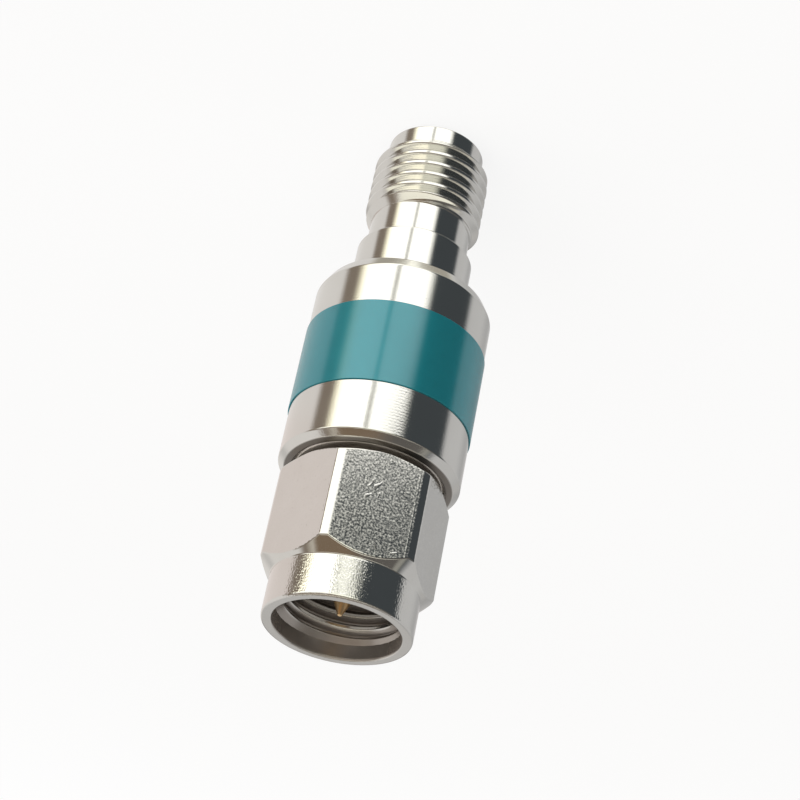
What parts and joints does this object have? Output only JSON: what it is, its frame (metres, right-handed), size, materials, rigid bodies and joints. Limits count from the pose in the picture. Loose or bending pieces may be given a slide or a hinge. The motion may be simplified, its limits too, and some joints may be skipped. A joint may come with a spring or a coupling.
{
  "type": "rf attenuator",
  "caption": "Coaxial inline attenuator: threaded jack, round barrel with a plain colour band, and a captive hex coupling nut around a centre pin; lowers a radio signal's level.",
  "frame": {"origin": "centre of the jack's rim, the face that the part stands on", "axes": "+Z along the common axis from the jack to the coupling nut; +X through a corner of the nut's hexagon at rest; +Y towards the label's seam"},
  "size_m": [0.0096, 0.0096, 0.03],
  "materials": {
    "barrel_nickel": "bright nickel plate on turned brass",
    "nut_nickel": "bright nickel plate, grainy flats",
    "shell_nickel": "bright nickel plate on turned brass",
    "label_film": "glossy film",
    "ring_bronze": "spring bronze",
    "gasket_rubber": "matte rubber",
    "contact_gold": "gold plate",
    "insulator_white": "waxy white fluoropolymer",
    "chip_ceramic": "white fired ceramic",
    "chip_film": "dark fired film",
    "chip_silver": "fired silver",
    "bush_gold": "thin gold plate on brass"
  },
  "bodies": {
    "attenuator": {"housing": "barrel_nickel", "label_band": "label_film", "plug_shell": "shell_nickel", "sealing_gasket": "gasket_rubber", "plug_pin": "contact_gold", "plug_insulator": "insulator_white", "socket_contact": "contact_gold", "socket_insulator": "insulator_white", "chip_substrate": "chip_ceramic", "resistor_film": "chip_film", "input_pad": "chip_silver", "output_pad": "chip_silver", "ground_metal": "chip_silver", "clamp_front": "bush_gold", "clamp_back": "bush_gold"},
    "spring_ring": {"retaining_ring": "ring_bronze"},
    "nut": {"coupling_nut": "nut_nickel"}
  },
  "joints": [
    {"name": "nut_float", "type": "slide", "parent": "attenuator", "child": "spring_ring", "axis": [0, 0, 1], "range_m": [0, 0.00035]},
    {"name": "nut_spin", "type": "hinge", "parent": "spring_ring", "child": "nut", "pos_m": [0, 0, 0.0245], "axis": [0, 0, 1], "continuous": true}
  ]
}
